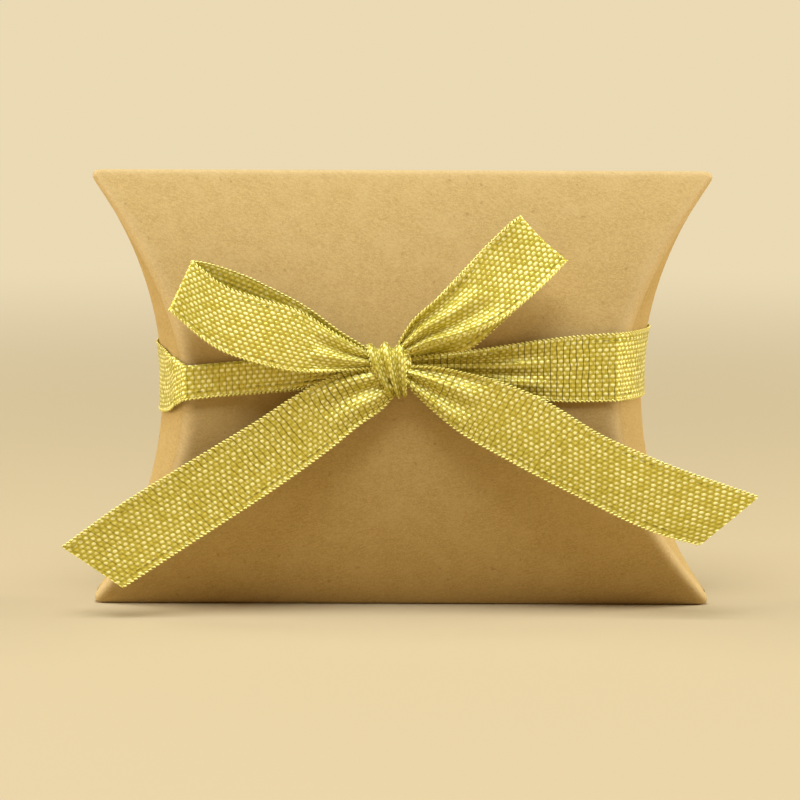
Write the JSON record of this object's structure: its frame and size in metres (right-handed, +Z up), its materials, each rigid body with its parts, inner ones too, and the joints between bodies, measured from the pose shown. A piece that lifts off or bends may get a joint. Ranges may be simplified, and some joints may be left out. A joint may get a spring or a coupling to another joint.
{
  "type": "favor box",
  "caption": "Kraft card pillow box with hinged end flaps, standing on its long fold and tied round its waist with a gold woven ribbon and a bow.",
  "frame": {"origin": "middle of the bottom fold, on the surface that the box stands on", "axes": "+X along the folds to the viewer's right, +Y from the front with the bow to the back, +Z up"},
  "size_m": [0.0996, 0.031, 0.0635],
  "materials": {
    "kraft_card": "matte",
    "dried_glue": "satin",
    "gold_ribbon": "satin"
  },
  "bodies": {
    "box": {"front_panel": "kraft_card", "back_panel": "kraft_card", "top_fold": "kraft_card", "bottom_fold": "kraft_card", "seam_flap": "kraft_card", "seam_glue": "dried_glue", "band_back": "gold_ribbon"},
    "left_arm": {"band_left": "gold_ribbon"},
    "right_arm": {"band_right": "gold_ribbon", "knot_core": "gold_ribbon", "knot_wrap": "gold_ribbon"},
    "left_outer_flap": {"left_outer_flap": "kraft_card"},
    "right_outer_flap": {"right_outer_flap": "kraft_card"},
    "left_inner_flap": {"left_inner_flap": "kraft_card"},
    "right_inner_flap": {"right_inner_flap": "kraft_card"},
    "left_loop": {"left_loop": "gold_ribbon"},
    "right_loop": {"right_loop": "gold_ribbon"},
    "left_tail": {"left_tail": "gold_ribbon"},
    "right_tail": {"right_tail": "gold_ribbon"}
  },
  "joints": [
    {"name": "left_arm_open", "type": "hinge", "parent": "box", "child": "left_arm", "pos_m": [-0.0302, 0.0125, 0.0345], "axis": [0, 0, -1], "range_deg": [0, 90]},
    {"name": "right_arm_open", "type": "hinge", "parent": "box", "child": "right_arm", "pos_m": [0.0302, 0.0125, 0.0345], "axis": [0, 0, 1], "range_deg": [0, 90]},
    {"name": "left_outer_flap_open", "type": "hinge", "parent": "box", "child": "left_outer_flap", "pos_m": [-0.0305, 0.012, 0.03175], "axis": [0, 0, -1], "range_deg": [0, 81]},
    {"name": "right_outer_flap_open", "type": "hinge", "parent": "box", "child": "right_outer_flap", "pos_m": [0.0305, 0.012, 0.03175], "axis": [0, 0, 1], "range_deg": [0, 81]},
    {"name": "left_inner_flap_open", "type": "hinge", "parent": "box", "child": "left_inner_flap", "pos_m": [-0.0305, -0.012, 0.03175], "axis": [0, 0, 1], "range_deg": [0, 45]},
    {"name": "right_inner_flap_open", "type": "hinge", "parent": "box", "child": "right_inner_flap", "pos_m": [0.0305, -0.012, 0.03175], "axis": [0, 0, -1], "range_deg": [0, 45]},
    {"name": "left_loop_lift", "type": "hinge", "parent": "right_arm", "child": "left_loop", "pos_m": [-0.00585, -0.01425, 0.037], "axis": [0.372, 0, 0.9282], "range_deg": [-3, 30], "stiffness_Nm_per_rad": 0.0002},
    {"name": "right_loop_lift", "type": "hinge", "parent": "right_arm", "child": "right_loop", "pos_m": [0.00265, -0.01425, 0.037], "axis": [0.7174, 0, -0.6967], "range_deg": [-3, 30], "stiffness_Nm_per_rad": 0.0002},
    {"name": "left_tail_lift", "type": "hinge", "parent": "right_arm", "child": "left_tail", "pos_m": [-0.00609, -0.01425, 0.0338], "axis": [-0.5664, 0, 0.8241], "range_deg": [-4, 35], "stiffness_Nm_per_rad": 0.0002},
    {"name": "right_tail_lift", "type": "hinge", "parent": "right_arm", "child": "right_tail", "pos_m": [0.00228, -0.01425, 0.0338], "axis": [-0.3964, 0, -0.9181], "range_deg": [-4, 35], "stiffness_Nm_per_rad": 0.0002}
  ],
  "couplings": [
    {"joint": "right_arm_open", "follows": "left_arm_open", "ratio": 1},
    {"joint": "left_outer_flap_open", "follows": "left_arm_open", "ratio": 0.9},
    {"joint": "left_inner_flap_open", "follows": "left_arm_open", "ratio": 0.5},
    {"joint": "right_outer_flap_open", "follows": "left_arm_open", "ratio": 0.9},
    {"joint": "right_inner_flap_open", "follows": "left_arm_open", "ratio": 0.5}
  ]
}
